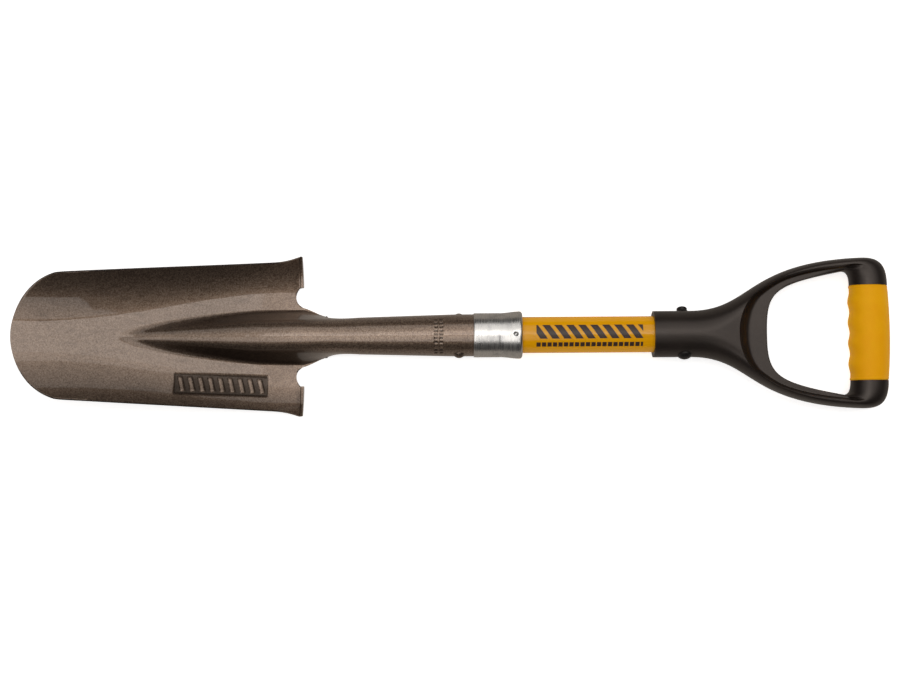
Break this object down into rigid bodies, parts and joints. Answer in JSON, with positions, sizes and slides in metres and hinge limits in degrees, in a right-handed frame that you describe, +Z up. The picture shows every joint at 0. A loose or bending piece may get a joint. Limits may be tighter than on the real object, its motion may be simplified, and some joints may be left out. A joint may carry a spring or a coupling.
{
  "type": "detecting shovel",
  "caption": "Short trenching shovel for metal detecting: narrow pressed blade with foot steps, rolled socket, fibreglass shaft and D-handle with a soft finger grip.",
  "frame": {"origin": "middle of the object's length, on the surface that it lies on", "axes": "+X along the shaft from the blade to the D-handle, +Z up out of the blade's hollow side, +Y across"},
  "size_m": [0.686, 0.1268, 0.0585],
  "materials": {
    "coated_steel": "speckled bronze-brown metallic powder coat",
    "zinc": "zinc-plated, satin, lightly scuffed",
    "yellow_tube": null,
    "wood_core": "plain turned hardwood, hidden",
    "rivet_bronze": "coated with the head, edges rubbed",
    "rivet_black": "black coated steel",
    "handle_plastic": "satin black moulded polypropylene",
    "soft_grip": "matt yellow-orange thermoplastic rubber"
  },
  "bodies": {
    "root": {"head": "coated_steel", "ferrule": "zinc", "shaft": "yellow_tube", "socket_core": "wood_core", "handle_core": "wood_core", "socket_rivet": "rivet_bronze", "handle_rivet": "rivet_black", "rivet_washer": "rivet_black", "d_handle": "handle_plastic", "grip": "soft_grip"}
  },
  "joints": []
}
